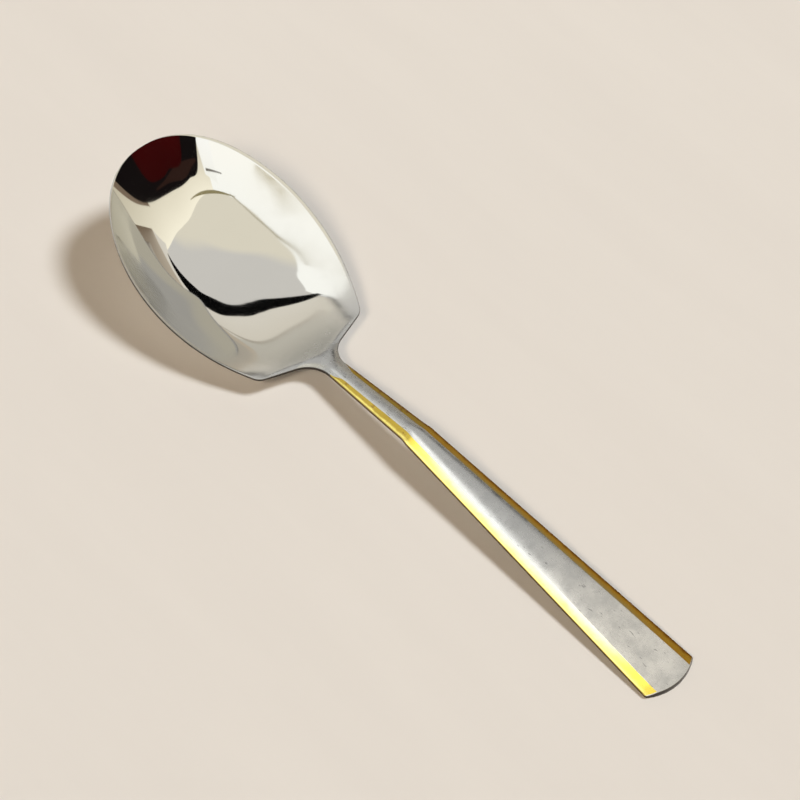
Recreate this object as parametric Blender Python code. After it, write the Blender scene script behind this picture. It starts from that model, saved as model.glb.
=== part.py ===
"""Rice serving spoon: a pressed stainless steel body with a gold-plated border on each side of its handle.

The spoon lies as it rests by itself: the flat of its bowl and the end of its handle touch z = 0.
A station is a distance along the spoon from the tip of the bowl, which points to -X.
"""

import math

import bmesh
import bpy

MM = 0.001

# Plan of the bowl
BOWL_WIDTH = 61.3 * MM
WIDEST_STATION = 40.5 * MM
TIP_BLUNTNESS = 2.2
SHOULDER_STATION = 78 * MM
SHOULDER_WIDTH = 40 * MM
SHOULDER_RADIUS = 4.8 * MM
BACK_EDGE_ANGLE = math.radians(71)

# Plan of the neck and the handle
OVERALL_LENGTH = 230 * MM
NECK_WIDTH = 6.4 * MM
NECK_FILLET_RADIUS = 8.6 * MM
NECK_LENGTH = 34.6 * MM
NECK_CREST_WIDTH = 8.6 * MM
HANDLE_CREST_WIDTH = 9.2 * MM
HANDLE_STEP_LENGTH = 3 * MM
HANDLE_END_WIDTH = 18.4 * MM
END_BULGE = 2.9 * MM
END_CORNER_RADIUS = 1 * MM

# Side profile: heights and slopes of the outline's top edge
TIP_HEIGHT = 33 * MM
TIP_RIM_SLOPE = -0.42
SHOULDER_HEIGHT = 7.1 * MM
SHOULDER_RIM_SLOPE = -0.15
NECK_HEIGHT = 7.3 * MM
CREST_HEIGHT = 9.9 * MM
CREST_BLEND_LENGTH = 5 * MM

# Section of the bowl
FLOOR_THICKNESS = 1.2 * MM
RIM_THICKNESS = 0.8 * MM
FLOOR_FLAT_WIDTH = 6 * MM
SIDE_WALL_POWER = 2.2
FRONT_WALL_RUN = 37 * MM
FRONT_WALL_POWER = 2.1
BACK_RAMP_RUN = 36 * MM
BACK_RAMP_SLOPE = 0.34
THROAT_PAST_SHOULDER = 3 * MM

# Section of the neck and the handle
NECK_EDGE_THICKNESS = 1.3 * MM
CREST_EDGE_THICKNESS = 1.1 * MM
END_EDGE_THICKNESS = 1 * MM
BEVEL_DROP = 1 * MM
NECK_CROWN = 0.45 * MM
END_CROWN = 0.12 * MM
BEVEL_SHARE_LIMIT = 0.7

# Gold borders, each a skin in a rebate along the handle's bevel and side
GOLD_SKIN = 0.35 * MM
SEAT_GAP = 0.3 * MM
REBATE_DRAFT = 0.05 * MM
GOLD_NECK_MARGIN = 0.5 * MM
GOLD_END_MARGIN = 0.3 * MM
GOLD_NECK_WIDTH = 1.4 * MM
GOLD_CREST_WIDTH = 2.3 * MM
GOLD_END_WIDTH = 2.8 * MM

# Fineness of the lofts
HALF_SECTION_STEPS = 11
TIP_STEPS = 12
SIDE_STEPS = 13
ARC_STEPS = 5
FILLET_STEPS = 9
NECK_STEPS = 4
CREST_STEPS = 7
HANDLE_STEPS = 15
SLOPE_PROBE = 0.2 * MM
SLIVER = 0.02 * MM

# Finish: colour and roughness
STEEL = ((0.74, 0.73, 0.70), 0.16)
GOLD = ((0.93, 0.70, 0.16), 0.18)

# Stations and sizes that follow from the ones above
FILLET_FOOT_STATION = SHOULDER_STATION + (SHOULDER_WIDTH - NECK_WIDTH) / 2 / math.tan(BACK_EDGE_ANGLE)
NECK_STATION = FILLET_FOOT_STATION + NECK_FILLET_RADIUS * math.tan(BACK_EDGE_ANGLE / 2)
CREST_STATION = NECK_STATION + NECK_LENGTH
CREST_BLEND = (CREST_STATION - CREST_BLEND_LENGTH / 2, CREST_STATION + CREST_BLEND_LENGTH / 2)
END_CORNER_STATION = OVERALL_LENGTH - END_BULGE
THROAT_STATION = SHOULDER_STATION + THROAT_PAST_SHOULDER
BACK_FOOT_STATION = THROAT_STATION - BACK_RAMP_RUN
GOLD_START_STATION = NECK_STATION + GOLD_NECK_MARGIN
GOLD_END_STATION = END_CORNER_STATION - END_CORNER_RADIUS - GOLD_END_MARGIN
REBATE_DEPTH = GOLD_SKIN + SEAT_GAP
NECK_SLOPE = (CREST_HEIGHT - NECK_HEIGHT) / NECK_LENGTH


def smooth_step(low, high, value):
    """0 up to low, 1 from high on, and a smooth rise between them."""
    t = min(1, max(0, (value - low) / (high - low)))
    return t * t * (3 - 2 * t)


def straight_runs(value, points):
    """Size at a station, on straight runs through (station, size) points."""
    for (s0, size0), (s1, size1) in zip(points, points[1:]):
        if value <= s1:
            return size0 + (size1 - size0) * max(0, value - s0) / (s1 - s0)
    return points[-1][1]


def even_steps(start, stop, count):
    """The places after start, up to stop, in so many equal steps."""
    return [start + (stop - start) * (i + 1) / count for i in range(count)]


def hermite(s, start, stop):
    """A cubic between two (station, height, slope) ends."""
    s0, z0, slope0 = start
    s1, z1, slope1 = stop
    length = s1 - s0
    t = (s - s0) / length
    leave = z0 * (1 + 2 * t) + slope0 * length * t
    arrive = z1 * (3 - 2 * t) + slope1 * length * (t - 1)
    return leave * (1 - t) ** 2 + arrive * t ** 2


def arc(centre, radius, start, stop, steps):
    """Points of the plan on an arc from angle start to angle stop."""
    angles = [start] + even_steps(start, stop, steps)
    return [(centre[0] + radius * math.cos(a), centre[1] + radius * math.sin(a)) for a in angles]


def bowl_half_width(s):
    """The bowl's side: a blunt round tip, then a slow draw-in to the shoulder."""
    if s < WIDEST_STATION:
        return BOWL_WIDTH / 2 * (1 - (1 - s / WIDEST_STATION) ** 2) ** (1 / TIP_BLUNTNESS)
    drawn_in = (s - WIDEST_STATION) / (SHOULDER_STATION - WIDEST_STATION)
    return BOWL_WIDTH / 2 - (BOWL_WIDTH - SHOULDER_WIDTH) / 2 * drawn_in ** 2


def handle_half_width(s):
    """The neck widens to the crest, steps out a little there and flares to the handle's end."""
    neck = straight_runs(s, [(NECK_STATION, NECK_WIDTH / 2), (CREST_STATION, NECK_CREST_WIDTH / 2)])
    run = max(0, s - CREST_STATION) / (END_CORNER_STATION - CREST_STATION)
    flare = HANDLE_CREST_WIDTH + (HANDLE_END_WIDTH - HANDLE_CREST_WIDTH) * run
    step = smooth_step(CREST_STATION - HANDLE_STEP_LENGTH / 2, CREST_STATION + HANDLE_STEP_LENGTH / 2, s)
    return neck * (1 - step) + flare / 2 * step


def shoulder_plan():
    """Round shoulder, straight back edge and hollow fillet."""
    side_angle = math.atan((BOWL_WIDTH - SHOULDER_WIDTH) / (SHOULDER_STATION - WIDEST_STATION))
    cut = SHOULDER_RADIUS * math.tan((BACK_EDGE_ANGLE - side_angle) / 2)
    sine, cosine = math.sin(BACK_EDGE_ANGLE), math.cos(BACK_EDGE_ANGLE)
    round_centre = (SHOULDER_STATION + cut * cosine - SHOULDER_RADIUS * sine,
                    SHOULDER_WIDTH / 2 - cut * sine - SHOULDER_RADIUS * cosine)
    hollow_centre = (NECK_STATION, NECK_WIDTH / 2 + NECK_FILLET_RADIUS)
    quarter = math.pi / 2
    rounded = arc(round_centre, SHOULDER_RADIUS, quarter - side_angle, quarter - BACK_EDGE_ANGLE, ARC_STEPS)
    hollow = arc(hollow_centre, NECK_FILLET_RADIUS, -quarter - BACK_EDGE_ANGLE, -quarter, FILLET_STEPS)
    return rounded + hollow


def end_plan():
    """One half of the handle's convex end, with its small round corner."""
    half = HANDLE_END_WIDTH / 2
    radius = (half ** 2 + END_BULGE ** 2) / (2 * END_BULGE)
    middle = OVERALL_LENGTH - radius
    corner_width = half - END_CORNER_RADIUS
    corner_run = math.sqrt((radius - END_CORNER_RADIUS) ** 2 - corner_width ** 2)
    meet = math.atan2(corner_width, corner_run)
    rounded = arc((middle + corner_run, corner_width), END_CORNER_RADIUS, math.pi / 2, meet, ARC_STEPS)
    return rounded + arc((middle, 0), radius, meet, math.acos(1 - SLIVER / radius), ARC_STEPS)[1:]


def spoon_plan():
    """The plan of one side as (station, half width) points, from the tip to the end."""
    shoulder, end = shoulder_plan(), end_plan()
    tip = [SLIVER + (WIDEST_STATION - SLIVER) * (i / TIP_STEPS) ** 2 for i in range(TIP_STEPS + 1)]
    side = even_steps(WIDEST_STATION, shoulder[0][0], SIDE_STEPS)[:-1]
    neck = even_steps(NECK_STATION, CREST_BLEND[0], NECK_STEPS) + even_steps(*CREST_BLEND, CREST_STEPS)
    handle = even_steps(CREST_BLEND[1], end[0][0], HANDLE_STEPS)[:-1]
    bowl = [(s, bowl_half_width(s)) for s in tip + side]
    return bowl + shoulder + [(s, handle_half_width(s)) for s in neck + handle] + end


PLAN = spoon_plan()


def half_width(s):
    return straight_runs(s, PLAN)


def edge_height(s):
    """Top edge of the outline: the bowl's rim, the rising neck, then the straight fall of the handle."""
    handle_slope = (END_EDGE_THICKNESS - CREST_HEIGHT) / (OVERALL_LENGTH - CREST_STATION)
    shoulder = (SHOULDER_STATION, SHOULDER_HEIGHT, SHOULDER_RIM_SLOPE)
    if s <= SHOULDER_STATION:
        return hermite(s, (0, TIP_HEIGHT, TIP_RIM_SLOPE), shoulder)
    if s <= NECK_STATION:
        return hermite(s, shoulder, (NECK_STATION, NECK_HEIGHT, NECK_SLOPE))
    rising = CREST_HEIGHT + NECK_SLOPE * (min(s, CREST_BLEND[0]) - CREST_STATION)
    falling = CREST_HEIGHT + handle_slope * (max(s, CREST_BLEND[1]) - CREST_STATION)
    if s <= CREST_BLEND[0]:
        return rising
    if s >= CREST_BLEND[1]:
        return falling
    return hermite(s, (CREST_BLEND[0], rising, NECK_SLOPE), (CREST_BLEND[1], falling, handle_slope))


def edge_thickness(s):
    return straight_runs(s, [(NECK_STATION, NECK_EDGE_THICKNESS), (CREST_STATION, CREST_EDGE_THICKNESS),
                             (OVERALL_LENGTH, END_EDGE_THICKNESS)])


def bevel_width(s):
    """Width of the handle's bevel, which is the width of the gold border on it."""
    gold = straight_runs(s, [(GOLD_START_STATION, GOLD_NECK_WIDTH), (CREST_STATION, GOLD_CREST_WIDTH),
                             (OVERALL_LENGTH, GOLD_END_WIDTH)])
    return min(gold, half_width(s) * BEVEL_SHARE_LIMIT)


def handle_share(s):
    """0 in the bowl and 1 from the neck on, with a smooth change along the fillets."""
    return smooth_step(THROAT_STATION, NECK_STATION, s)


def wall_share(s, y):
    """0 on the bowl's flat floor and 1 at its rim."""
    flat = FLOOR_FLAT_WIDTH / BOWL_WIDTH
    return max(0, abs(y) / half_width(s) - flat) / (1 - flat)


def bowl_middle(s):
    """The inside of the bowl along its middle: front wall, flat floor, ramp, then the throat into the neck."""
    front = (TIP_HEIGHT - FLOOR_THICKNESS) * max(0, 1 - s / FRONT_WALL_RUN) ** FRONT_WALL_POWER
    climb = max(0, s - BACK_FOOT_STATION)
    ramp = FLOOR_THICKNESS + BACK_RAMP_SLOPE / 2 / BACK_RAMP_RUN * climb ** 2
    if s <= THROAT_STATION:
        return front + ramp
    ramp_top = FLOOR_THICKNESS + BACK_RAMP_SLOPE / 2 * BACK_RAMP_RUN
    neck_top = NECK_HEIGHT + BEVEL_DROP + NECK_CROWN
    neck = (NECK_STATION, neck_top, NECK_SLOPE)
    return hermite(min(s, NECK_STATION), (THROAT_STATION, ramp_top, BACK_RAMP_SLOPE), neck)


def bowl_top(s, y):
    """The inside of the bowl: flat in the middle, with walls that rise to the rim."""
    middle = bowl_middle(s)
    return middle + (edge_height(s) - middle) * wall_share(s, y) ** SIDE_WALL_POWER


def handle_top(s, y):
    """The face of the handle: a crowned panel between two bevels."""
    bevel = bevel_width(s)
    panel = half_width(s) - bevel
    if abs(y) > panel:
        return edge_height(s) + BEVEL_DROP * (half_width(s) - abs(y)) / bevel
    crown = straight_runs(s, [(NECK_STATION, NECK_CROWN), (OVERALL_LENGTH, END_CROWN)])
    return edge_height(s) + BEVEL_DROP + crown * (1 - (y / panel) ** 2)


def top_height(s, y):
    share = handle_share(s)
    return bowl_top(s, y) * (1 - share) + handle_top(s, y) * share


def bottom_height(s, y):
    """The underside: below the bowl by the thickness of its wall, and flat along the handle."""
    share = handle_share(s)
    flat = edge_height(s) - edge_thickness(s)
    inward = SLOPE_PROBE if s < WIDEST_STATION else -SLOPE_PROBE
    here = bowl_top(s, y)
    along = (bowl_top(s + inward, y) - here) / SLOPE_PROBE
    across = (bowl_top(s, max(0, abs(y) - SLOPE_PROBE)) - here) / SLOPE_PROBE
    wall = FLOOR_THICKNESS + (RIM_THICKNESS - FLOOR_THICKNESS) * wall_share(s, y)
    return (here - wall * math.hypot(1, along, across)) * (1 - share) + flat * share


def section_places(s, rebate):
    """Distances from the middle of the points on half a section.

    On the handle the last three are the rebate's foot, the middle of the bevel and the edge."""
    half = half_width(s)
    panel = half - bevel_width(s)
    foot, edge = panel + REBATE_DRAFT, half - rebate
    bowl = [0] + even_steps(0, half, HALF_SECTION_STEPS)
    handle = [0] + even_steps(0, panel, HALF_SECTION_STEPS - 3) + [foot, (foot + edge) / 2, edge]
    share = handle_share(s)
    return [a * (1 - share) + b * share for a, b in zip(bowl, handle)]


def body_section(s):
    """A closed section of the body: over the top from one side to the other, and back below."""
    rebate = REBATE_DEPTH if GOLD_START_STATION < s < GOLD_END_STATION else 0
    places = section_places(s, rebate)
    first_sunk = HALF_SECTION_STEPS - 2
    top = [(y, top_height(s, y) - (rebate if i >= first_sunk else 0)) for i, y in enumerate(places)]
    bottom = [(y, bottom_height(s, y)) for y in places]
    over = [(-y, z) for y, z in reversed(top[1:])] + top
    under = bottom[::-1] + [(-y, z) for y, z in bottom[1:]]
    return over + under


def gold_section(s, side):
    """A closed section of a gold border: a skin over the bevel and down the handle's side."""
    half = half_width(s)
    inner = half - bevel_width(s) + REBATE_DRAFT + SEAT_GAP
    inside = half - GOLD_SKIN
    below = edge_height(s) - edge_thickness(s)
    face = [(inner, handle_top(s, inner)), (half, edge_height(s)), (half, below)]
    lining = [(inside, below), (inside, handle_top(s, inside) - GOLD_SKIN), (inner, face[0][1] - GOLD_SKIN)]
    return [(side * y, z) for y, z in face + lining]


def metal(name, colour, roughness):
    material = bpy.data.materials.new(name)
    material.use_nodes = True
    shader = material.node_tree.nodes["Principled BSDF"]
    shader.inputs["Base Color"].default_value = (*colour, 1)
    shader.inputs["Metallic"].default_value = 1
    shader.inputs["Roughness"].default_value = roughness
    return material


def loft(name, sections, material, collection):
    """A closed solid through (station, [(y, z), ...]) sections, with a flat face at each end."""
    solid = bmesh.new()
    rings = [[solid.verts.new((s - OVERALL_LENGTH / 2, y, z)) for y, z in loop] for s, loop in sections]
    for before, after in zip(rings, rings[1:]):
        for i in range(len(before)):
            solid.faces.new((before[i - 1], before[i], after[i], after[i - 1]))
    solid.faces.new(rings[0])
    solid.faces.new(rings[-1])
    bmesh.ops.recalc_face_normals(solid, faces=solid.faces)
    mesh = bpy.data.meshes.new(name)
    solid.to_mesh(mesh)
    solid.free()
    mesh.materials.append(material)
    part = bpy.data.objects.new(name, mesh)
    collection.objects.link(part)


def spoon_body(collection):
    """Bowl, neck and handle, pressed from one sheet, with a rebate for the gold along each side."""
    ends = (GOLD_START_STATION, GOLD_END_STATION)
    rebate_ends = [end + side * SLIVER for end in ends for side in (-1, 1)]
    stations = sorted([s for s, _ in PLAN] + rebate_ends)
    sections = [(s, body_section(s)) for s in stations]
    loft("spoon_body", sections, metal("stainless_steel", *STEEL), collection)


def gold_borders(collection):
    """The gold plating on the two bevels and sides of the handle."""
    gold = metal("gold_plate", *GOLD)
    start, stop = GOLD_START_STATION + SEAT_GAP, GOLD_END_STATION - SEAT_GAP
    stations = [start] + [s for s, _ in PLAN if start < s < stop] + [stop]
    for name, side in (("gold_border_left", -1), ("gold_border_right", 1)):
        loft(name, [(s, gold_section(s, side)) for s in stations], gold, collection)


def main():
    for old in list(bpy.data.objects):
        bpy.data.objects.remove(old)
    collection = bpy.data.collections.new("rice_serving_spoon")
    bpy.context.scene.collection.children.link(collection)
    spoon_body(collection)
    gold_borders(collection)


main()
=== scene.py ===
"""Rice serving spoon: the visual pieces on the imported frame, with a plain studio around them.

The steel body and the two gold borders follow the same sizes as the CAD solids, on finer and rounded meshes.
A station is a distance along the spoon from the tip of the bowl, which points to -X.
"""

import math

import bmesh
import bpy
import numpy as np
from mathutils import Matrix, Vector


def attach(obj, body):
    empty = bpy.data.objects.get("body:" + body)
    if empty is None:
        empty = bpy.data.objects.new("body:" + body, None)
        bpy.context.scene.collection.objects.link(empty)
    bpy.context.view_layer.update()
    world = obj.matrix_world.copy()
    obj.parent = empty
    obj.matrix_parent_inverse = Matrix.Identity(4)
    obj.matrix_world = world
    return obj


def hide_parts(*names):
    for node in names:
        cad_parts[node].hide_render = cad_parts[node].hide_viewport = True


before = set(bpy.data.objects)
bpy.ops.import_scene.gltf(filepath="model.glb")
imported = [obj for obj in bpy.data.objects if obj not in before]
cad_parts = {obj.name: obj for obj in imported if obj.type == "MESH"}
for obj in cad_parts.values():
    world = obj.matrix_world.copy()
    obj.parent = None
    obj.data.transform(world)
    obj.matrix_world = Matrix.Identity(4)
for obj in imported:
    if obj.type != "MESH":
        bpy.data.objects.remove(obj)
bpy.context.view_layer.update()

MM = 0.001

# Plan of the bowl
BOWL_WIDTH = 61.3 * MM
WIDEST_STATION = 40.5 * MM
TIP_BLUNTNESS = 2.2
SHOULDER_STATION = 78 * MM
SHOULDER_WIDTH = 40 * MM
SHOULDER_RADIUS = 4.8 * MM
BACK_EDGE_ANGLE = math.radians(71)

# Plan of the neck and the handle
OVERALL_LENGTH = 230 * MM
NECK_WIDTH = 6.4 * MM
NECK_FILLET_RADIUS = 8.6 * MM
NECK_LENGTH = 34.6 * MM
NECK_CREST_WIDTH = 8.6 * MM
HANDLE_CREST_WIDTH = 9.2 * MM
HANDLE_STEP_LENGTH = 3 * MM
HANDLE_END_WIDTH = 18.4 * MM
END_BULGE = 2.9 * MM
END_CORNER_RADIUS = 1 * MM

# Side profile
TIP_HEIGHT = 33 * MM
TIP_RIM_SLOPE = -0.42
SHOULDER_HEIGHT = 7.1 * MM
SHOULDER_RIM_SLOPE = -0.15
NECK_HEIGHT = 7.3 * MM
CREST_HEIGHT = 9.9 * MM
CREST_BLEND_LENGTH = 5 * MM

# Section of the bowl
FLOOR_THICKNESS = 1.2 * MM
RIM_THICKNESS = 0.8 * MM
FLOOR_FLAT_WIDTH = 6 * MM
SIDE_WALL_POWER = 2.2
FRONT_WALL_RUN = 37 * MM
FRONT_WALL_POWER = 2.1
BACK_RAMP_RUN = 36 * MM
BACK_RAMP_SLOPE = 0.34
THROAT_PAST_SHOULDER = 3 * MM
WALL_SOFTNESS = 0.15
RAMP_SOFTNESS = 7.5 * MM

# Section of the neck and the handle
NECK_EDGE_THICKNESS = 1.3 * MM
CREST_EDGE_THICKNESS = 1.1 * MM
END_EDGE_THICKNESS = 1 * MM
BEVEL_DROP = 1 * MM
NECK_BEVEL_DROP = 0.45 * MM
NECK_CROWN = 0.45 * MM
END_CROWN = 0.12 * MM
MIDDLE_CROWN = 0.5 * MM
MIDDLE_STATION = 185 * MM
BEVEL_SHARE_LIMIT = 0.7

# Gold borders
GOLD_NECK_MARGIN = 0.5 * MM
GOLD_END_MARGIN = 0.3 * MM
GOLD_NECK_WIDTH = 1.4 * MM
GOLD_CREST_WIDTH = 2.3 * MM
GOLD_END_WIDTH = 2.8 * MM
GOLD_PROUD = 0.03 * MM
GOLD_SUNK = 0.25 * MM
GOLD_TAPER = 5 * MM
GOLD_TIP_SHARE = 0.08
GOLD_CORNER_ANGLE = math.radians(50)

# Where the polish is dulled, as shares of the half width and as stations
HAZY_WALL = (0.60, 0.82)
HAZY_WALL_START = (14 * MM, 26 * MM)
HAZY_WALL_DEPTH = 0.8
HAZY_BACK = (62 * MM, 78 * MM)

# Rounded edges and fineness of the meshes, which keep a sliver of width at the tip and the end
BOWL_EDGE_ROUND = 0.18 * MM
HANDLE_EDGE_ROUND = 0.2 * MM
TIP_STEPS = 90
SIDE_STEPS = 70
ARC_STEPS = 16
NECK_STEPS = 60
HANDLE_STEPS = 150
PANEL_STEPS = 26
BEVEL_STEPS = 8
ROUND_STEPS = 4
PANEL_SHARE_LIMIT = 0.98
SLOPE_PROBE = 0.05 * MM
SLIVER = 0.02 * MM

# Stations that follow from the sizes above
FILLET_FOOT_STATION = SHOULDER_STATION + (SHOULDER_WIDTH - NECK_WIDTH) / 2 / math.tan(BACK_EDGE_ANGLE)
NECK_STATION = FILLET_FOOT_STATION + NECK_FILLET_RADIUS * math.tan(BACK_EDGE_ANGLE / 2)
CREST_STATION = NECK_STATION + NECK_LENGTH
CREST_BLEND = (CREST_STATION - CREST_BLEND_LENGTH / 2, CREST_STATION + CREST_BLEND_LENGTH / 2)
END_CORNER_STATION = OVERALL_LENGTH - END_BULGE
END_RADIUS = ((HANDLE_END_WIDTH / 2) ** 2 + END_BULGE ** 2) / (2 * END_BULGE)
THROAT_STATION = SHOULDER_STATION + THROAT_PAST_SHOULDER
BACK_FOOT_STATION = THROAT_STATION - BACK_RAMP_RUN
GOLD_START_STATION = NECK_STATION + GOLD_NECK_MARGIN
GOLD_END_STATION = END_CORNER_STATION - GOLD_END_MARGIN
NECK_SLOPE = (CREST_HEIGHT - NECK_HEIGHT) / NECK_LENGTH


def smooth_step(low, high, value):
    """0 up to the low value and 1 from the high one on."""
    t = np.clip((value - low) / (high - low), 0, 1)
    return t * t * (3 - 2 * t)


def soft_part(value, width):
    """The positive part of a value, with a rounded start."""
    return (value + np.sqrt(value ** 2 + width ** 2)) / 2


def hermite(s, start, stop):
    """A cubic between two (station, height, slope) ends."""
    s0, z0, slope0 = start
    s1, z1, slope1 = stop
    length = s1 - s0
    t = (s - s0) / length
    leave = z0 * (1 + 2 * t) + slope0 * length * t
    arrive = z1 * (3 - 2 * t) + slope1 * length * (t - 1)
    return leave * (1 - t) ** 2 + arrive * t ** 2


def arc(centre, radius, start, stop, steps):
    """Points on a circle from one angle to another."""
    a = np.linspace(start, stop, steps + 1)
    return np.stack([centre[0] + radius * np.cos(a), centre[1] + radius * np.sin(a)], 1)


def spoon_plan():
    """The plan of one side as (station, half width) points, from the tip to the end."""
    tip = WIDEST_STATION * np.linspace(0, 1, TIP_STEPS + 1) ** 2
    tip_width = BOWL_WIDTH / 2 * (1 - (1 - tip / WIDEST_STATION) ** 2) ** (1 / TIP_BLUNTNESS)
    side_angle = math.atan((BOWL_WIDTH - SHOULDER_WIDTH) / (SHOULDER_STATION - WIDEST_STATION))
    cut = SHOULDER_RADIUS * math.tan((BACK_EDGE_ANGLE - side_angle) / 2)
    sine, cosine = math.sin(BACK_EDGE_ANGLE), math.cos(BACK_EDGE_ANGLE)
    round_centre = (SHOULDER_STATION + cut * cosine - SHOULDER_RADIUS * sine,
                    SHOULDER_WIDTH / 2 - cut * sine - SHOULDER_RADIUS * cosine)
    quarter = math.pi / 2
    rounded = arc(round_centre, SHOULDER_RADIUS, quarter - side_angle, quarter - BACK_EDGE_ANGLE, ARC_STEPS)
    hollow_centre = (NECK_STATION, NECK_WIDTH / 2 + NECK_FILLET_RADIUS)
    hollow = arc(hollow_centre, NECK_FILLET_RADIUS, -quarter - BACK_EDGE_ANGLE, -quarter, 2 * ARC_STEPS)
    side = np.linspace(WIDEST_STATION, rounded[0, 0], SIDE_STEPS)[1:-1]
    drawn_in = ((side - WIDEST_STATION) / (SHOULDER_STATION - WIDEST_STATION)) ** 2
    side_width = BOWL_WIDTH / 2 - (BOWL_WIDTH - SHOULDER_WIDTH) / 2 * drawn_in

    middle = OVERALL_LENGTH - END_RADIUS
    corner_width = HANDLE_END_WIDTH / 2 - END_CORNER_RADIUS
    corner_run = math.sqrt((END_RADIUS - END_CORNER_RADIUS) ** 2 - corner_width ** 2)
    meet = math.atan2(corner_width, corner_run)
    corner = arc((middle + corner_run, corner_width), END_CORNER_RADIUS, quarter, meet, ARC_STEPS)
    end = arc((middle, 0), END_RADIUS, meet, 0, 2 * ARC_STEPS)[1:]

    neck = np.linspace(NECK_STATION, CREST_BLEND[1], NECK_STEPS)[1:]
    handle = np.concatenate([neck, np.linspace(CREST_BLEND[1], corner[0, 0], HANDLE_STEPS)[1:-1]])
    narrow = np.interp(handle, [NECK_STATION, CREST_STATION], [NECK_WIDTH / 2, NECK_CREST_WIDTH / 2])
    run = np.maximum(0, handle - CREST_STATION) / (END_CORNER_STATION - CREST_STATION)
    flare = HANDLE_CREST_WIDTH + (HANDLE_END_WIDTH - HANDLE_CREST_WIDTH) * run
    step = smooth_step(CREST_STATION - HANDLE_STEP_LENGTH / 2, CREST_STATION + HANDLE_STEP_LENGTH / 2, handle)
    handle_width = narrow * (1 - step) + flare / 2 * step
    return np.concatenate([np.stack([tip, tip_width], 1), np.stack([side, side_width], 1), rounded, hollow,
                           np.stack([handle, handle_width], 1), corner, end])


PLAN = spoon_plan()


def half_width(s):
    return np.maximum(SLIVER, np.interp(s, PLAN[:, 0], PLAN[:, 1]))


def side_half_width(s):
    """Half width between the handle's sides, which run on past its rounded end."""
    return half_width(np.minimum(s, END_CORNER_STATION - 2 * END_CORNER_RADIUS))


def edge_height(s):
    """Top edge of the outline: the bowl's rim, the rising neck, then the straight fall of the handle."""
    handle_slope = (END_EDGE_THICKNESS - CREST_HEIGHT) / (OVERALL_LENGTH - CREST_STATION)
    shoulder = (SHOULDER_STATION, SHOULDER_HEIGHT, SHOULDER_RIM_SLOPE)
    rise = (CREST_BLEND[0], CREST_HEIGHT + NECK_SLOPE * (CREST_BLEND[0] - CREST_STATION), NECK_SLOPE)
    fall = (CREST_BLEND[1], CREST_HEIGHT + handle_slope * (CREST_BLEND[1] - CREST_STATION), handle_slope)
    places = [s <= SHOULDER_STATION, s <= NECK_STATION, s <= CREST_BLEND[0], s <= CREST_BLEND[1]]
    heights = [hermite(s, (0, TIP_HEIGHT, TIP_RIM_SLOPE), shoulder),
               hermite(s, shoulder, (NECK_STATION, NECK_HEIGHT, NECK_SLOPE)),
               CREST_HEIGHT + NECK_SLOPE * (s - CREST_STATION),
               hermite(s, rise, fall)]
    return np.select(places, heights, CREST_HEIGHT + handle_slope * (s - CREST_STATION))


def edge_thickness(s):
    return np.interp(s, [NECK_STATION, CREST_STATION, OVERALL_LENGTH],
                     [NECK_EDGE_THICKNESS, CREST_EDGE_THICKNESS, END_EDGE_THICKNESS])


def bevel_width(s):
    """Width of the bevel that carries the gold, seen from above."""
    gold = np.interp(s, [GOLD_START_STATION, CREST_STATION, OVERALL_LENGTH],
                     [GOLD_NECK_WIDTH, GOLD_CREST_WIDTH, GOLD_END_WIDTH])
    return np.minimum(gold, side_half_width(s) * BEVEL_SHARE_LIMIT)


def bevel_drop(s):
    return np.interp(s, [NECK_STATION, CREST_STATION], [NECK_BEVEL_DROP, BEVEL_DROP])


def handle_share(s):
    """0 in the bowl and 1 from the neck on."""
    return smooth_step(THROAT_STATION, NECK_STATION, s)


def wall_share(s, y):
    """0 on the bowl's flat floor and 1 at its rim."""
    flat = FLOOR_FLAT_WIDTH / BOWL_WIDTH
    return soft_part(np.abs(y) / half_width(s) - flat, WALL_SOFTNESS) / soft_part(1 - flat, WALL_SOFTNESS)


def bowl_middle(s):
    """The inside of the bowl along its middle: front wall, flat floor, ramp and the throat into the neck."""
    front = soft_part(1 - s / FRONT_WALL_RUN, WALL_SOFTNESS) / soft_part(1, WALL_SOFTNESS)
    climb = soft_part(np.minimum(s, THROAT_STATION) - BACK_FOOT_STATION, RAMP_SOFTNESS)
    ramp = FLOOR_THICKNESS + BACK_RAMP_SLOPE / 2 / BACK_RAMP_RUN * climb ** 2
    full_climb = soft_part(BACK_RAMP_RUN, RAMP_SOFTNESS)
    ramp_top = FLOOR_THICKNESS + BACK_RAMP_SLOPE / 2 / BACK_RAMP_RUN * full_climb ** 2
    neck_top = NECK_HEIGHT + NECK_BEVEL_DROP + NECK_CROWN
    throat = hermite(np.minimum(s, NECK_STATION), (THROAT_STATION, ramp_top, BACK_RAMP_SLOPE),
                     (NECK_STATION, neck_top, NECK_SLOPE))
    wall = (TIP_HEIGHT - FLOOR_THICKNESS) * front ** FRONT_WALL_POWER
    return wall + np.where(s < THROAT_STATION, ramp, throat)


def bowl_top(s, y):
    middle = bowl_middle(s)
    return middle + (edge_height(s) - middle) * wall_share(s, y) ** SIDE_WALL_POWER


def handle_top(s, y):
    """The face of the handle: a crowned panel between two bevels."""
    bevel = bevel_width(s)
    panel = side_half_width(s) - bevel
    crown = np.interp(s, [NECK_STATION, MIDDLE_STATION, OVERALL_LENGTH],
                      [NECK_CROWN, MIDDLE_CROWN, END_CROWN])
    on_bevel = edge_height(s) + bevel_drop(s) * (side_half_width(s) - np.abs(y)) / bevel
    on_panel = edge_height(s) + bevel_drop(s) + crown * (1 - (y / panel) ** 2)
    return np.where(np.abs(y) > panel, on_bevel, on_panel)


def top_height(s, y):
    share = handle_share(s)
    return bowl_top(s, y) * (1 - share) + handle_top(s, y) * share


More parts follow.
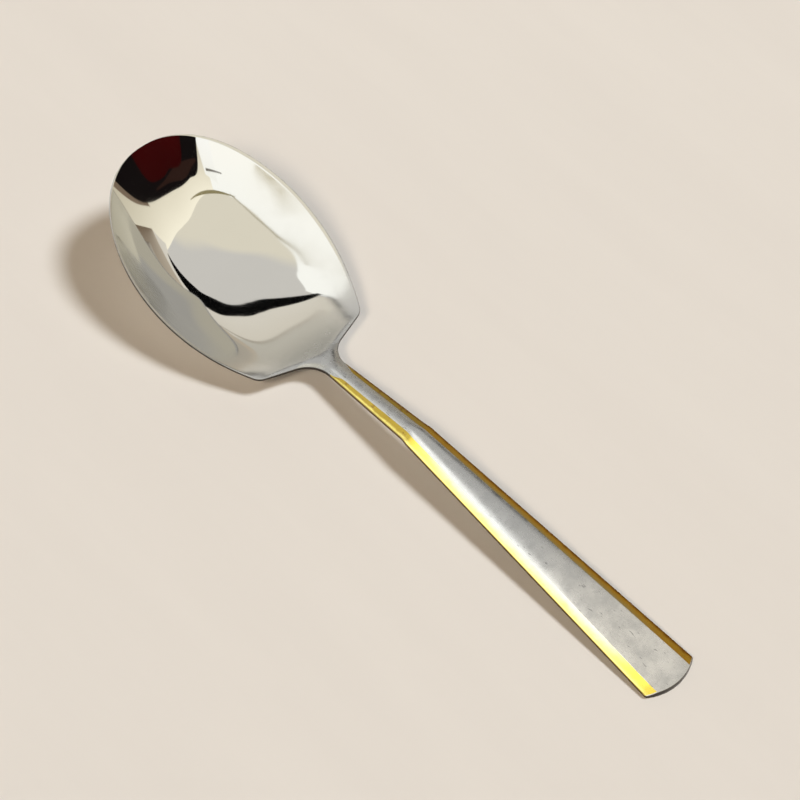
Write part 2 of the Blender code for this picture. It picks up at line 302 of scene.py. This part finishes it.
def bottom_height(s, y):
    """The underside: below the bowl by the thickness of its wall, and flat along the handle."""
    share = handle_share(s)
    flat = edge_height(s) - edge_thickness(s)
    inward = np.where(s < WIDEST_STATION, SLOPE_PROBE, -SLOPE_PROBE)
    here = bowl_top(s, y)
    along = (bowl_top(s + inward, y) - here) / SLOPE_PROBE
    across = (bowl_top(s, np.maximum(0, np.abs(y) - SLOPE_PROBE)) - here) / SLOPE_PROBE
    wall = FLOOR_THICKNESS + (RIM_THICKNESS - FLOOR_THICKNESS) * wall_share(s, y)
    return (here - wall * np.sqrt(1 + along ** 2 + across ** 2)) * (1 - share) + flat * share


def section_places(s, half):
    """Distances from the middle of the points on half a section, one row for each station."""
    steps = PANEL_STEPS + BEVEL_STEPS
    bowl = half[:, None] * np.linspace(0, 1, steps + 1)[None, :]
    panel = np.minimum(side_half_width(s) - bevel_width(s), half * PANEL_SHARE_LIMIT)[:, None]
    inner = panel * np.linspace(0, 1, PANEL_STEPS + 1)[None, :]
    outer = panel + (half[:, None] - panel) * np.linspace(0, 1, BEVEL_STEPS + 1)[None, 1:]
    share = handle_share(s)[:, None]
    return bowl * (1 - share) + np.concatenate([inner, outer], 1) * share


def inset_plan():
    """The plan drawn in by the edge's round, with the outward direction at each of its points."""
    run = np.gradient(PLAN, axis=0)
    run[0] = (0, 1)
    run[-1] = (0, -1)
    outward = np.stack([-run[:, 1], run[:, 0]], 1)
    outward /= np.linalg.norm(outward, axis=1, keepdims=True)
    share = handle_share(PLAN[:, 0])[:, None]
    edge_round = BOWL_EDGE_ROUND * (1 - share) + HANDLE_EDGE_ROUND * share
    return PLAN - outward * edge_round, outward, edge_round


def new_object(name, mesh, material, node):
    """A visible piece of the part in place of a CAD node."""
    mesh.materials.append(material)
    mesh.shade_smooth()
    piece = bpy.data.objects.new(name, mesh)
    bpy.context.scene.collection.objects.link(piece)
    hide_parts(node)
    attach(piece, "root")
    return piece


def mesh_from(name, points, faces, finish):
    """A closed mesh that carries two finish values for its material at each point."""
    mesh = bpy.data.meshes.new(name)
    mesh.from_pydata(points.tolist(), [], faces)
    colours = np.pad(finish, ((0, 0), (0, 2)), constant_values=1)
    mesh.color_attributes.new("finish", "FLOAT_COLOR", "POINT").data.foreach_set("color", colours.ravel())
    solid = bmesh.new()
    solid.from_mesh(mesh)
    bmesh.ops.recalc_face_normals(solid, faces=solid.faces)
    solid.to_mesh(mesh)
    solid.free()
    return mesh


def ring_faces(rows, count):
    """Quads between neighbouring closed rings of so many points."""
    i = np.arange(rows - 1)[:, None] * count
    j = np.arange(count)[None, :]
    after = (j + 1) % count
    return np.stack([i + j, i + after, i + count + after, i + count + j], -1).reshape(-1, 4)


def edge_points(s, half, top, below, outward, edge_round, proud=0):
    """The side of the outline: a small round, a straight side and a small round, from top to bottom."""
    angle = np.linspace(0, math.pi / 2, ROUND_STEPS + 1)[None, 1:]
    out = (edge_round + proud) * np.sin(angle)
    drop = edge_round * (1 - np.cos(angle)) - proud * np.cos(angle)
    out = np.concatenate([out, out[:, ::-1]], 1)
    z = np.concatenate([top[:, None] - drop, (below[:, None] + drop)[:, ::-1]], 1)
    return np.stack([s[:, None] + out * outward[:, :1], half[:, None] + out * outward[:, 1:], z], -1)


def side_share(count):
    """How far each point of the outline's side faces sideways, for so many stations."""
    rise = np.sin(np.linspace(0, math.pi / 2, ROUND_STEPS + 1))[1:]
    return np.tile(np.concatenate([rise, rise[::-1]]), (count, 1))


def closed_loft(name, rings, finish):
    """A closed mesh through rings of (station, y, z) points, shifted to the frame's origin."""
    rows, count = rings.shape[:2]
    points = rings.reshape(-1, 3) - (OVERALL_LENGTH / 2, 0, 0)
    ends = [list(range(count)), list(range((rows - 1) * count, rows * count))]
    return mesh_from(name, points, [*ring_faces(rows, count).tolist(), *ends], finish.reshape(-1, 2))


def bowl_haze(s, share):
    """How far the bowl's polish is dulled: along its side walls and towards the neck."""
    wall = smooth_step(*HAZY_WALL, share) * smooth_step(*HAZY_WALL_START, s)
    return np.maximum(HAZY_WALL_DEPTH * wall, smooth_step(*HAZY_BACK, s))


def spoon_body_mesh():
    """Bowl, neck and handle as one skin with a rounded edge all round.

    Its finish values are the haze of the polish and the share that faces sideways."""
    inset, outward, edge_round = inset_plan()
    s, half = inset[:, 0], np.maximum(SLIVER, inset[:, 1])
    places = section_places(s, half)
    station = s[:, None] + 0 * places
    top, bottom = top_height(station, places), bottom_height(station, places)
    edge = edge_points(s, half, top[:, -1], bottom[:, -1], outward, edge_round)
    right = np.concatenate([np.stack([station, places, top], -1), edge,
                            np.stack([station, places, bottom], -1)[:, ::-1]], 1)
    haze = bowl_haze(station, places / half[:, None])
    face = np.stack([haze, 0 * haze], -1)
    side = side_share(len(s))
    flank = np.stack([0 * side + haze[:, -1:], side], -1)
    finish = np.concatenate([face, flank, face[:, ::-1]], 1)
    rings = np.concatenate([right, right[:, 1:-1][:, ::-1] * (1, -1, 1)], 1)
    return closed_loft("spoon", rings, np.concatenate([finish, finish[:, 1:-1][:, ::-1]], 1))


def gold_mesh(name, side):
    """A thin plated skin over the bevel and down the handle's side, from a narrow tip to the rounded end.

    Its finish values are the place across the bevel and the share that faces sideways."""
    inset, outward, edge_round = inset_plan()
    keep = (PLAN[:, 0] >= GOLD_START_STATION) & (PLAN[:, 0] <= GOLD_END_STATION)
    s, half = inset[keep, 0], inset[keep, 1]
    widening = smooth_step(GOLD_START_STATION, GOLD_START_STATION + GOLD_TAPER, s)
    taper = np.maximum(GOLD_TIP_SHARE, widening)[:, None]
    width = (half - side_half_width(s) + bevel_width(s))[:, None] * taper
    across = np.linspace(0, 1, BEVEL_STEPS + 1)[None, :] + 0 * width
    y = half[:, None] - width * (1 - across)
    reach = np.sqrt(END_RADIUS ** 2 - y ** 2) + OVERALL_LENGTH - END_RADIUS - END_CORNER_STATION
    station = s[:, None] + reach * smooth_step(GOLD_END_STATION - GOLD_TAPER, GOLD_END_STATION, s)[:, None]
    top, below = top_height(station, y), bottom_height(s, half)
    proud = GOLD_PROUD * taper
    edge = edge_points(s, half, top[:, -1], below, outward[keep], edge_round[keep], proud)
    face = np.stack([station, y, top + proud], -1)
    foot = np.stack([s, half, below + GOLD_PROUD], -1)[:, None]
    inner = np.stack([s, half - GOLD_SUNK, below + GOLD_SUNK], -1)[:, None]
    lining = np.stack([station, y, top - GOLD_SUNK], -1)[:, ::-1]
    rings = np.concatenate([face, edge, foot, inner, lining], 1) * (1, side, 1)
    flank = side_share(len(s))
    shares = np.concatenate([across, 0 * flank + 1, across[:, :2] * 0 + 1, across[:, ::-1]], 1)
    sides = np.concatenate([0 * across, flank, across[:, :2] * 0, 0 * across], 1)
    return closed_loft(name, rings, np.stack([shares, sides], -1))


class Nodes:
    """Short calls that add shader nodes to a material or world and link them."""

    def __init__(self, owner):
        owner.use_nodes = True
        self.tree = owner.node_tree
        self.tree.nodes.clear()

    def add(self, kind, inputs=None, **settings):
        node = self.tree.nodes.new(kind)
        for key, value in settings.items():
            setattr(node, key, value)
        for key, value in (inputs or {}).items():
            self.put(node.inputs[key], value)
        return node

    def put(self, socket, value):
        if isinstance(value, bpy.types.NodeSocket):
            self.tree.links.new(value, socket)
        elif socket.type == "RGBA":
            socket.default_value = (*value, 1)
        else:
            socket.default_value = value

    def math(self, operation, *values, clamp=False):
        node = self.add("ShaderNodeMath", operation=operation, use_clamp=clamp)
        for socket, value in zip(node.inputs, values):
            self.put(socket, value)
        return node.outputs[0]

    def ramp(self, value, span, to=(0, 1)):
        node = self.add("ShaderNodeMapRange", interpolation_type="SMOOTHSTEP")
        for socket, x in zip(node.inputs, (value, *span, *to)):
            self.put(socket, x)
        return node.outputs[0]

    def mix(self, share, first, second):
        """A colour between two."""
        node = self.add("ShaderNodeMix", data_type="RGBA")
        for index, value in zip((0, 6, 7), (share, first, second)):
            self.put(node.inputs[index], value)
        return node.outputs[2]

    def blend(self, share, first, second):
        """A number between two."""
        node = self.add("ShaderNodeMix", data_type="FLOAT")
        for index, value in zip((0, 2, 3), (share, first, second)):
            self.put(node.inputs[index], value)
        return node.outputs[0]

    def noise(self, vector, scale, detail, rough=0.5):
        inputs = {"Vector": vector, "Scale": scale, "Detail": detail, "Roughness": rough}
        return self.add("ShaderNodeTexNoise", inputs).outputs["Fac"]

    def streaks(self, vector, stretch, detail, rough=0.5):
        """Noise with a scale of its own along each axis."""
        stretched = self.add("ShaderNodeMapping", {"Vector": vector, "Scale": stretch}).outputs[0]
        return self.noise(stretched, 1.0, detail, rough)

    def bump(self, height, strength, distance):
        inputs = {"Height": height, "Strength": strength, "Distance": distance}
        return self.add("ShaderNodeBump", inputs).outputs[0]


def metal_nodes(name):
    """A metal material, with its shader, the place on the object and along it, and the finish values."""
    material = bpy.data.materials.new(name)
    nodes = Nodes(material)
    shader = nodes.add("ShaderNodeBsdfPrincipled", {"Metallic": 1.0})
    nodes.add("ShaderNodeOutputMaterial", {"Surface": shader.outputs[0]})
    place = nodes.add("ShaderNodeTexCoord").outputs["Object"]
    along = nodes.add("ShaderNodeSeparateXYZ", {"Vector": place}).outputs["X"]
    finish = nodes.add("ShaderNodeAttribute", attribute_name="finish").outputs["Color"]
    values = nodes.add("ShaderNodeSeparateColor", {"Color": finish}).outputs
    return material, nodes, shader, place, along, values


# Noise in the metals: scale or stretch, detail and roughness, then the spans of it that show
STEEL_BLOTCHES = (55.0, 4.0, 0.6)
STEEL_PATCHES = (170.0, 5.0, 0.65)
STEEL_MOTTLE = (300.0, 4.0, 0.6)
GOLD_BLOTCHES = (130.0, 4.0, 0.6)
GOLD_MOTTLE = (480.0, 3.0, 0.6)
BRUSHING = ((90, 2600, 2600), 2.0)
SCUFFS = ((420, 1500, 1500), 1.0)
BLOTCH_SPAN = (0.3, 0.8)
PATCH_SPAN = (0.3, 0.7)
MOTTLE_SPAN = (0.25, 0.75)
SCUFF_SPAN = (0.70, 0.76)
MIDDLE_HIGHLIGHT_SPAN = (0.25, 0.65)
SPOT_SPAN = (0.55, 0.68)
UNEVEN_SPAN = (0.2, 0.8)

# Steel: where along X the satin and its pale end start and are full, then its colours, the last a painted
# shade for the side faces, then roughness and bump
SATIN_START = (-0.046, -0.030)
PALE_END = (0.045, 0.100)
BOWL_STEEL = ((0.69, 0.69, 0.67), (0.73, 0.725, 0.705))
GREY_SATIN = ((0.40, 0.41, 0.415), (0.58, 0.59, 0.595))
PALE_SATIN = ((0.61, 0.60, 0.57), (0.82, 0.80, 0.75))
SCUFF_COLOUR = (0.20, 0.20, 0.20)
SCUFF_DEPTH = 0.55
# Painted shade: near black for the side faces of the rim and the handle
STEEL_SIDE_SHADE = (0.045, 0.036, 0.03)
POLISHED_ROUGHNESS = (0.03, 0.055)
DULLED_ROUGHNESS = (0.17, 0.25)
SATIN_ROUGHNESS = (0.20, 0.32)
STEEL_BUMP = (0.10, 0.04 * MM)


def steel_material():
    """Mirror polish in the bowl that dulls towards its walls and neck, and a mottled satin handle.

    Its side faces get a painted shade.
    """
    material, nodes, shader, place, along, (haze, side, _) = metal_nodes("stainless_steel")
    satin = nodes.ramp(along, SATIN_START)
    end = nodes.ramp(along, PALE_END)
    blotches = nodes.noise(place, *STEEL_BLOTCHES)
    patches = nodes.noise(place, *STEEL_PATCHES)
    mottle = nodes.noise(place, *STEEL_MOTTLE)
    brushed = nodes.streaks(place, *BRUSHING)
    scuffs = nodes.ramp(nodes.streaks(place, *SCUFFS), SCUFF_SPAN)

    bowl = nodes.mix(blotches, *BOWL_STEEL)
    grey = nodes.mix(mottle, *GREY_SATIN)
    pale = nodes.mix(nodes.ramp(patches, PATCH_SPAN), *PALE_SATIN)
    handle = nodes.mix(end, grey, pale)
    worn = nodes.mix(nodes.math("MULTIPLY", scuffs, SCUFF_DEPTH), handle, SCUFF_COLOUR)
    colour = nodes.mix(satin, bowl, worn)
    # Painted shade darkens the side faces
    nodes.put(shader.inputs["Base Color"], nodes.mix(side, colour, STEEL_SIDE_SHADE))

    polished = nodes.ramp(blotches, BLOTCH_SPAN, POLISHED_ROUGHNESS)
    dulled = nodes.ramp(mottle, MOTTLE_SPAN, DULLED_ROUGHNESS)
    matte = nodes.ramp(mottle, MOTTLE_SPAN, SATIN_ROUGHNESS)
    rough = nodes.blend(satin, nodes.blend(haze, polished, dulled), matte)
    nodes.put(shader.inputs["Roughness"], rough)
    height = nodes.math("MULTIPLY", nodes.math("ADD", brushed, mottle), satin)
    nodes.put(shader.inputs["Normal"], nodes.bump(height, *STEEL_BUMP))
    return material


# Gold: where along X the neck's wear fades and the painted highlight along the middle starts and stops, the
# shares across the bevel of its inner edge, a painted highlight, and of its deep outer edge and how unevenly
# they run, then its colours (the side colour a painted shade), roughness and bump
NECK_WEAR = (0.016, 0.006)
MIDDLE_HIGHLIGHT_START = (0.010, 0.036)
MIDDLE_HIGHLIGHT_STOP = (0.106, 0.088)
MIDDLE_HIGHLIGHT_DEPTH = (0.45, 1.0)
INNER_HIGHLIGHT_EDGE = (0.70, -0.05)
DEEP_OUTER_EDGE = (0.55, 1.0)
UNEVEN_SHIFT = (-0.12, 0.12)
WORN_NECK_GOLD = ((0.34, 0.23, 0.03), (0.58, 0.43, 0.08))
SPOT_COLOUR = (0.24, 0.11, 0.03)
SPOT_DEPTH = 0.7
# Painted shade: dark brown for the side faces of the gold
GOLD_SIDE_SHADE = (0.16, 0.09, 0.02)
GOLD_ROUGHNESS = (0.15, 0.26)
GOLD_BUMP = (0.10, 0.03 * MM)


def gold_material(name, deep, light, middle_highlight, inner, outer):
    """Gold plate, deeper at its outer edge and worn on the neck, with a painted shade on its side faces.

    A painted highlight runs along the handle's middle and along the bevel's inner edge there.
    """
    material, nodes, shader, place, along, (across, side, _) = metal_nodes(name)
    neck = nodes.ramp(along, NECK_WEAR)
    middle = nodes.math("MULTIPLY", nodes.ramp(along, MIDDLE_HIGHLIGHT_START), nodes.ramp(along, MIDDLE_HIGHLIGHT_STOP))
    blotches = nodes.noise(place, *GOLD_BLOTCHES)
    mottle = nodes.noise(place, *GOLD_MOTTLE)
    brushed = nodes.streaks(place, *BRUSHING)

    bright = nodes.mix(blotches, deep, light)
    # Painted highlight: patches of paler colour along the handle's middle
    highlight_patches = nodes.math("MULTIPLY", middle, nodes.ramp(blotches, MIDDLE_HIGHLIGHT_SPAN, MIDDLE_HIGHLIGHT_DEPTH))
    amber = nodes.mix(blotches, *WORN_NECK_GOLD)
    gold = nodes.mix(neck, nodes.mix(highlight_patches, bright, middle_highlight), amber)
    spots = nodes.math("MULTIPLY", nodes.ramp(mottle, SPOT_SPAN), neck)
    spotted = nodes.mix(nodes.math("MULTIPLY", spots, SPOT_DEPTH), gold, SPOT_COLOUR)
    uneven = nodes.math("ADD", across, nodes.ramp(mottle, UNEVEN_SPAN, UNEVEN_SHIFT))
    deepened = nodes.mix(nodes.ramp(uneven, DEEP_OUTER_EDGE), spotted, outer)
    # Painted highlight: the bevel's inner edge turns pale along the handle's middle
    thin = nodes.math("MULTIPLY", nodes.ramp(uneven, INNER_HIGHLIGHT_EDGE), middle)
    plated = nodes.mix(thin, deepened, inner)
    # Painted shade darkens the side faces
    nodes.put(shader.inputs["Base Color"], nodes.mix(side, plated, GOLD_SIDE_SHADE))

    nodes.put(shader.inputs["Roughness"], nodes.ramp(blotches, BLOTCH_SPAN, GOLD_ROUGHNESS))
    nodes.put(shader.inputs["Normal"], nodes.bump(brushed, *GOLD_BUMP))
    return material


# Gold borders: side, deep and light plate, the colour of the painted highlight along the middle, and its
# inner and outer edges. The left border's inner edge colour is a painted highlight too, and the right
# border's colours are a darker painted shade of the left's.
GOLD_BORDERS = {
    "gold_left": (-1, (0.86, 0.66, 0.08), (0.94, 0.80, 0.18), (0.96, 0.90, 0.48), (0.93, 0.90, 0.66),
                  (0.92, 0.80, 0.24)),
    # Painted shade: the right border's colours are a darker copy of the left border's gold
    "gold_right": (1, (0.36, 0.18, 0.01), (0.62, 0.41, 0.06), (0.50, 0.29, 0.03), (0.42, 0.33, 0.12),
                   (0.24, 0.10, 0.01)),
}


def make_spoon():
    body = new_object("spoon", spoon_body_mesh(), steel_material(), "spoon_body")
    for name, (side, *colours) in GOLD_BORDERS.items():
        border = new_object(name, gold_mesh(name, side), gold_material(name, *colours),
                            name.replace("gold_", "gold_border_"))
        border.data.set_sharp_from_angle(angle=GOLD_CORNER_ANGLE)


# Camera, at the photograph's viewing angle
CAMERA_PLACE = (0.2953, -0.2624, 0.5238)
CAMERA_ELEVATION = math.radians(52.12)
CAMERA_YAW = math.radians(48.09)
CAMERA_LENS = 100.47
SENSOR_WIDTH = 36
CLIP_START = 0.01


def make_camera():
    sine, cosine = math.sin(CAMERA_YAW), math.cos(CAMERA_YAW)
    ahead = Vector((-sine, cosine, 0))
    right = Vector((cosine, sine, 0))
    forward = ahead * math.cos(CAMERA_ELEVATION) - Vector((0, 0, math.sin(CAMERA_ELEVATION)))
    up = right.cross(forward)
    data = bpy.data.cameras.new("camera")
    data.lens = CAMERA_LENS
    data.sensor_width = SENSOR_WIDTH
    data.clip_start = CLIP_START
    camera = bpy.data.objects.new("camera", data)
    turn = Matrix((right, up, -forward)).transposed().to_4x4()
    camera.matrix_world = Matrix.Translation(CAMERA_PLACE) @ turn
    bpy.context.scene.collection.objects.link(camera)
    bpy.context.scene.camera = camera


def direction(azimuth, elevation):
    """The unit vector at two angles in degrees."""
    a, e = math.radians(azimuth), math.radians(elevation)
    return Vector((math.cos(a) * math.cos(e), math.sin(a) * math.cos(e), math.sin(e)))


def stage_piece(name, mesh, material, mirrored_only=False):
    """A piece of the studio, which only reflections see where that is asked."""
    mesh.materials.append(material)
    plane = bpy.data.objects.new(name, mesh)
    bpy.context.scene.collection.objects.link(plane)
    if mirrored_only:
        plane.visible_camera = False
        plane.visible_diffuse = False
        plane.visible_shadow = False
    return plane


def rectangle(name, size):
    mesh = bpy.data.meshes.new(name)
    x, y = size[0] / 2, size[1] / 2
    mesh.from_pydata([(-x, -y, 0), (x, -y, 0), (x, y, 0), (-x, y, 0)], [], [(0, 1, 2, 3)])
    return mesh


# Floor: its size, the stretch, detail and roughness of its grain, its colours, and the patch that mirrors see
FLOOR_SIZE = (8, 8)
FLOOR_GRAIN = ((6, 40, 1), 4.0, 0.6)
FLOOR_COLOURS = ((0.74, 0.68, 0.615), (0.79, 0.73, 0.66))
FLOOR_ROUGHNESS = 0.75
NEAR_FLOOR_SIZE = (0.5, 0.26)
NEAR_FLOOR_PLACE = (0, -0.07, 0.3 * MM)


def make_floor():
    """The floor, and a patch of it round the spoon that reflections see; further out they see the cards."""
    material = bpy.data.materials.new("floor")
    nodes = Nodes(material)
    place = nodes.add("ShaderNodeTexCoord").outputs["Object"]
    colour = nodes.mix(nodes.streaks(place, *FLOOR_GRAIN), *FLOOR_COLOURS)
    shader = nodes.add("ShaderNodeBsdfPrincipled", {"Base Color": colour, "Roughness": FLOOR_ROUGHNESS})
    nodes.add("ShaderNodeOutputMaterial", {"Surface": shader.outputs[0]})
    stage_piece("floor", rectangle("floor", FLOOR_SIZE), material).visible_glossy = False
    near = stage_piece("near_floor", rectangle("near_floor", NEAR_FLOOR_SIZE), material, mirrored_only=True)
    near.location = NEAR_FLOOR_PLACE


# World: the light it gives, what camera and mirrors see of it below and above the horizon, where the ceiling
# turns cooler, and how bright world and cards are in a second reflection
AMBIENT_COLOUR = (0.11, 0.08, 0.05)
BELOW_COLOUR = (0.74, 0.68, 0.60)
WARM_CEILING = (0.95, 0.89, 0.74)
COOL_CEILING = (0.78, 0.755, 0.71)
HORIZON_SPAN = (-0.06, 0.06)
COOL_AZIMUTH = 130
COOL_SPAN = (-0.10, 0.12)
SECOND_BOUNCE = 0.78


def bounce_strength(nodes, path):
    """1 in a first reflection and less in a second one."""
    return nodes.ramp(path["Glossy Depth"], (1, 2), (1, SECOND_BOUNCE))


def make_world():
    """Warm even light for the floor, and to camera and mirror a beige ceiling that is cooler on one side."""
    world = bpy.data.worlds.new("studio")
    bpy.context.scene.world = world
    nodes = Nodes(world)
    path = nodes.add("ShaderNodeLightPath").outputs
    towards = nodes.add("ShaderNodeTexCoord").outputs["Generated"]
    height = nodes.add("ShaderNodeSeparateXYZ", {"Vector": towards}).outputs["Z"]
    sides = {0: towards, 1: direction(COOL_AZIMUTH, 0)}
    far = nodes.add("ShaderNodeVectorMath", sides, operation="DOT_PRODUCT").outputs["Value"]
    ceiling = nodes.mix(nodes.ramp(far, COOL_SPAN), WARM_CEILING, COOL_CEILING)
    seen = nodes.mix(nodes.ramp(height, HORIZON_SPAN), BELOW_COLOUR, ceiling)
    mirrored = nodes.math("ADD", path["Is Glossy Ray"], path["Is Transmission Ray"])
    looked_at = nodes.math("ADD", path["Is Camera Ray"], mirrored, clamp=True)
    colour = nodes.mix(looked_at, AMBIENT_COLOUR, seen)
    strength = bounce_strength(nodes, path)
    shader = nodes.add("ShaderNodeBackground", {"Color": colour, "Strength": strength})
    nodes.add("ShaderNodeOutputWorld", {"Surface": shader.outputs[0]})


# Far lamps: azimuth, elevation and width in degrees, power and colour
FAR_LAMPS = {
    "key": (50, 57, 13.7, 2.59, (0.86, 0.93, 1.0)),
    "fill": (-66, 50, 15.2, 1.19, (1.0, 0.89, 0.74)),
}

# The lamp over the handle
GLEAM_PLACE = (0.029, -0.017, 0.102)
GLEAM_TOWARDS = (180, 72)
GLEAM_SIZE = (0.044, 0.13)
GLEAM_SPREAD = math.radians(60)
GLEAM_POWER = 0.0032
GLEAM_COLOUR = (1.0, 1.0, 0.96)


def lamp(name, kind, towards, power, colour):
    """A lamp that shines against the direction that it lies in."""
    data = bpy.data.lights.new(name, kind)
    data.energy = power
    data.color = colour
    light = bpy.data.objects.new(name, data)
    light.rotation_mode = "QUATERNION"
    light.rotation_quaternion = towards.to_track_quat("Z", "Y")
    light.visible_camera = False
    bpy.context.scene.collection.objects.link(light)
    return light


def make_lights():
    """Two wide far lamps for the floor's shadows, and one whose narrow beam gleams along the handle."""
    for name, (azimuth, elevation, width, power, colour) in FAR_LAMPS.items():
        far_lamp = lamp(name, "SUN", direction(azimuth, elevation), power, colour)
        far_lamp.data.angle = math.radians(width)
        far_lamp.visible_glossy = False
    gleam = lamp("gleam", "AREA", direction(*GLEAM_TOWARDS), GLEAM_POWER, GLEAM_COLOUR)
    gleam.location = GLEAM_PLACE
    gleam.data.shape = "RECTANGLE"
    gleam.data.size, gleam.data.size_y = GLEAM_SIZE
    gleam.data.spread = GLEAM_SPREAD
    gleam.visible_diffuse = False


# Studio cards: fineness, how much nearer than the bowl the handle's reflections start, and what these see
CARD_STEPS = 96
CARD_RISES = 10
HANDLE_REACH = (0.10, 0.06)
HANDLE_CARD_COLOUR = (0.85, 0.80, 0.70)


def smooth_edge(points, place):
    """A smooth curve through a few (place, value) points."""
    knots, values = np.transpose(points)
    slopes = np.gradient(values, knots)
    i = np.clip(np.searchsorted(knots, place, "right") - 1, 0, len(knots) - 2)
    return hermite(place, (knots[i], values[i], slopes[i]), (knots[i + 1], values[i + 1], slopes[i + 1]))


def card_material(name, distance):
    """A plain emitter with the card's own colours, which is pale to reflections in the handle."""
    material = bpy.data.materials.new(name)
    nodes = Nodes(material)
    glow = nodes.add("ShaderNodeAttribute", attribute_name="glow").outputs["Color"]
    path = nodes.add("ShaderNodeLightPath").outputs
    from_bowl = nodes.ramp(path["Ray Length"], [distance - reach for reach in HANDLE_REACH])
    colour = nodes.mix(from_bowl, HANDLE_CARD_COLOUR, glow)
    strength = bounce_strength(nodes, path)
    shader = nodes.add("ShaderNodeEmission", {"Color": colour, "Strength": strength})
    nodes.add("ShaderNodeOutputMaterial", {"Surface": shader.outputs[0]})
    return material


def curved_card(name, lower, upper, distance, low, high):
    """A card round the bowl that only reflections see; its colour goes from low to high.

    Its two edges run through (azimuth, elevation) points."""
    azimuth = np.linspace(lower[0][0], lower[-1][0], CARD_STEPS + 1)
    foot, head = smooth_edge(lower, azimuth), smooth_edge(upper, azimuth)
    points, colours = [], []
    for rise in np.linspace(0, 1, CARD_RISES + 1):
        points += [CARD_CENTRE + direction(a, e) * distance
                   for a, e in zip(azimuth, foot + (head - foot) * rise)]
        colours += [(*Vector(low).lerp(Vector(high), rise), 1)] * len(azimuth)
    count = len(azimuth)
    corners = [i * count + j for i in range(CARD_RISES) for j in range(CARD_STEPS)]
    mesh = bpy.data.meshes.new(name)
    mesh.from_pydata(points, [], [(c, c + 1, c + count + 1, c + count) for c in corners])
    glow = mesh.color_attributes.new("glow", "FLOAT_COLOR", "POINT")
    glow.data.foreach_set("color", np.ravel(colours))
    stage_piece(name, mesh, card_material(name, distance), mirrored_only=True)


# Studio cards round the bowl, the nearest first: lower edge, upper edge, and the colours at the two edges
CARD_CENTRE = Vector((-0.07, 0, 0.006))
CARD_DISTANCE = 3.0
CARD_STEP_BACK = 0.02
CARDS = {
    "maroon_card": (
        [(-14, 4), (10, -30), (46, -34)],
        [(-14, 8), (-8, 15), (13, 18), (30, 12), (46, -30)],
        (0.10, 0.003, 0.004), (0.038, 0.003, 0.003)),
    "umber_card": (
        [(-20, 18), (26, 19)],
        [(-20, 19), (1, 24), (26, 19.5)],
        (0.034, 0.016, 0.012), (0.034, 0.016, 0.012)),
    "dark_card": (
        [(-29, -20), (72, -50)],
        [(-29, 8), (-21, 20), (-4, 25), (20, 24), (45, 13), (72, -16)],
        (0.008, 0.006, 0.006), (0.008, 0.006, 0.006)),
    "rust_card": (
        [(40, 14), (74, -22)],
        [(40, 18), (52, 9), (74, -14)],
        (0.20, 0.15, 0.11), (0.26, 0.19, 0.13)),
    "black_strip": (
        [(66, 31), (96, 32), (110, 29.5), (122, 26), (129, 31), (139, 38), (154, 42), (187, 47)],
        [(66, 31.4), (84, 37.5), (97, 40), (112, 40), (125, 38), (144, 45), (165, 48), (187, 47.3)],
        (0.003, 0.003, 0.003), (0.003, 0.003, 0.003)),
    "grey_card": (
        [(71, 12), (94, -17), (112, -45), (150, -45)],
        [(71, 13), (100, 18), (118, 13), (128, 19), (150, 20)],
        (0.22, 0.18, 0.14), (0.52, 0.47, 0.39)),
    "brown_card": (
        [(56, 18), (70, 3), (89, -16), (140, -45)],
        [(56, 19), (67, 25), (93, 29), (119, 24), (140, 22)],
        (0.20, 0.14, 0.09), (0.60, 0.52, 0.41)),
    "seam_card": (
        [(128, 23), (143, 25.6), (170, 39.6)],
        [(128, 23.6), (143, 26.8), (170, 40.3)],
        (0.50, 0.46, 0.38), (0.55, 0.50, 0.42)),
    "ramp_card": (
        [(56, 18), (131, 22), (159, 34), (184, 46)],
        [(56, 31), (112, 38), (125, 37), (144, 43), (184, 47)],
        (0.84, 0.78, 0.67), (0.92, 0.87, 0.77)),
    "back_card": (
        [(110, -20), (184, -20)],
        [(110, 37), (125, 36), (144, 43), (184, 47)],
        (0.36, 0.32, 0.24), (0.74, 0.71, 0.63)),
    "tick_card": (
        [(-44, 21.6), (-28, 21.3)],
        [(-44, 22.1), (-28, 22.5)],
        (0.20, 0.18, 0.15), (0.20, 0.18, 0.15)),
    "arc_card": (
        [(-56, 31.6), (-34, 31.4), (8, 32.9)],
        [(-56, 32.1), (-14, 33.8), (8, 33.2)],
        (0.34, 0.29, 0.15), (0.34, 0.29, 0.15)),
    "fold_card": (
        [(-140, 48), (-108, 42), (-84, 39), (-50, 31)],
        [(-140, 49), (-108, 43.5), (-84, 40.5), (-50, 32)],
        (0.60, 0.55, 0.42), (0.60, 0.55, 0.42)),
    "streak_card": (
        [(-101, 27), (-82, 12), (-72, 10)],
        [(-101, 28.5), (-82, 16.5), (-72, 14)],
        (0.66, 0.56, 0.33), (0.48, 0.39, 0.19)),
    "stripe_card": (
        [(-38, -10), (-26, -10)],
        [(-40, 28), (-26, 24)],
        (1.42, 1.42, 1.42), (1.25, 1.24, 1.16)),
    "window_card": (
        [(-175, 0), (-30, 0)],
        [(-175, 49), (-158, 53), (-146, 52), (-108, 43), (-61, 34), (-30, 31)],
        (1.38, 1.35, 1.25), (1.30, 1.30, 1.24)),
    "cream_card": (
        [(-30, -10), (72, -35), (100, -45)],
        [(-30, 33), (60, 33), (72, 26), (100, 10)],
        (0.30, 0.24, 0.13), (1.30, 1.22, 1.00)),
}


def make_cards():
    for i, (name, (lower, upper, low, high)) in enumerate(CARDS.items()):
        curved_card(name, lower, upper, CARD_DISTANCE + i * CARD_STEP_BACK, low, high)


bpy.context.scene.view_settings.view_transform = "Standard"
make_camera()
make_spoon()
make_floor()
make_world()
make_lights()
make_cards()
